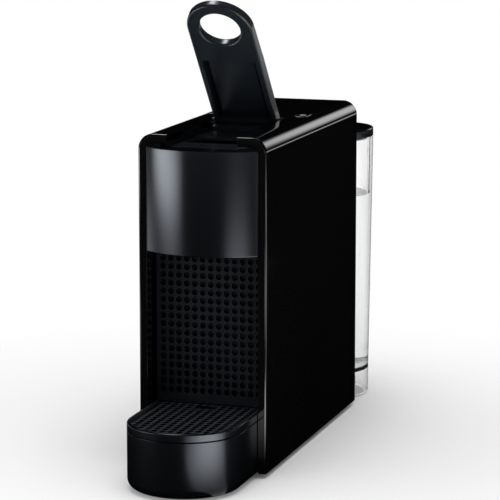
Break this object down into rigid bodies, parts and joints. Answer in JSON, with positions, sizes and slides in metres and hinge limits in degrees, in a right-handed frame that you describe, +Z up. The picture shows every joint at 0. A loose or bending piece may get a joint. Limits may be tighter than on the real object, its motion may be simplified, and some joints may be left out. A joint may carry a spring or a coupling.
{
  "type": "pod coffee machine",
  "caption": "Slim pod coffee machine with a ring-ended lift lever, bulged front, dimpled cup recess, slide-out drip tray and clear rear water tank.",
  "frame": {"origin": "on the table under the middle of the whole machine, from the tray's nose to the tank's back", "axes": "+X to the machine's right, +Y towards its back, +Z up"},
  "size_m": [0.08, 0.33, 0.28],
  "materials": {
    "gloss_black": "polished black",
    "satin_black": "satin black",
    "charcoal": "fine matte",
    "clear_tank": "clear moulded plastic",
    "rubber": "matte",
    "steel": "stamped",
    "cast_aluminium": "as cast",
    "board": "solder mask",
    "white_plastic": "natural moulded",
    "hose": "translucent silicone",
    "brass": "turned"
  },
  "bodies": {
    "machine": {"left_side_panel": "gloss_black", "right_side_panel": "gloss_black", "top_cover": "gloss_black", "rear_cover": "charcoal", "base_plate": "charcoal", "rubber_feet": "rubber", "rear_screws": "steel", "cord_gland": "rubber", "tank_dock": "charcoal", "dock_seal": "rubber", "front_panel": "satin_black", "outlet_plate": "charcoal", "coffee_spout": "charcoal", "channel_floor": "satin_black", "left_chassis_plate": "steel", "right_chassis_plate": "steel", "chassis_spacers": "steel", "brew_head": "charcoal", "extraction_plate": "steel", "button_board": "board", "button_switches": "charcoal", "pump_body": "white_plastic", "pump_coil": "charcoal", "pump_bracket": "steel", "pump_mounts": "rubber", "flow_meter": "white_plastic", "suction_hose": "hose", "pump_hose": "hose", "pressure_hose": "hose", "thermoblock": "cast_aluminium", "thermal_cutout": "steel", "control_board": "board", "board_standoffs": "brass"},
    "lever": {"lever": "satin_black", "lever_underside_cover": "satin_black", "lever_shaft": "steel", "left_cam_plate": "steel", "right_cam_plate": "steel"},
    "cage": {"capsule_cage": "charcoal", "cage_seal": "rubber", "piercing_needles": "steel", "cage_cross_pin": "steel", "injector_tube": "steel"},
    "drip_unit": {"capsule_container": "charcoal", "drip_tray": "satin_black"},
    "drip_grid": {"drip_grid": "satin_black"},
    "espresso_button": {"espresso_button": "gloss_black"},
    "lungo_button": {"lungo_button": "gloss_black"},
    "tank": {"tank_body": "clear_tank", "tank_floor": "clear_tank", "valve_cage": "charcoal"},
    "tank_lid": {"tank_lid": "satin_black"},
    "tank_valve": {"valve_poppet": "white_plastic", "valve_seal": "rubber", "valve_spring": "steel"}
  },
  "joints": [
    {"name": "lever_hinge", "type": "hinge", "parent": "machine", "child": "lever", "pos_m": [0, -0.0113, 0.1958], "axis": [1, 0, 0], "range_deg": [0, 50]},
    {"name": "cage_slide", "type": "slide", "parent": "machine", "child": "cage", "axis": [0, -1, 0], "range_m": [0, 0.0241]},
    {"name": "espresso_press", "type": "slide", "parent": "machine", "child": "espresso_button", "axis": [0, 0, -1], "range_m": [0, 0.001], "stiffness_N_per_m": 600},
    {"name": "lungo_press", "type": "slide", "parent": "machine", "child": "lungo_button", "axis": [0, 0, -1], "range_m": [0, 0.001], "stiffness_N_per_m": 600},
    {"name": "drip_unit_slide", "type": "slide", "parent": "machine", "child": "drip_unit", "axis": [0, -1, 0], "range_m": [0, 0.13]},
    {"name": "drip_grid_lift", "type": "slide", "parent": "drip_unit", "child": "drip_grid", "axis": [0, 0, 1], "range_m": [0, 0.03]},
    {"name": "tank_lift", "type": "slide", "parent": "machine", "child": "tank", "axis": [0, 0, 1], "range_m": [0, 0.06]},
    {"name": "tank_lid_lift", "type": "slide", "parent": "tank", "child": "tank_lid", "axis": [0, 0, 1], "range_m": [0, 0.03]},
    {"name": "tank_valve_close", "type": "slide", "parent": "tank", "child": "tank_valve", "axis": [0, 0, -1], "range_m": [0, 0.00175], "deforming": ["valve_spring"]}
  ],
  "couplings": [
    {"joint": "cage_slide", "follows": "lever_hinge", "m_per_rad": 0.027502},
    {"joint": "tank_valve_close", "follows": "tank_lift", "ratio": 0.028333}
  ]
}
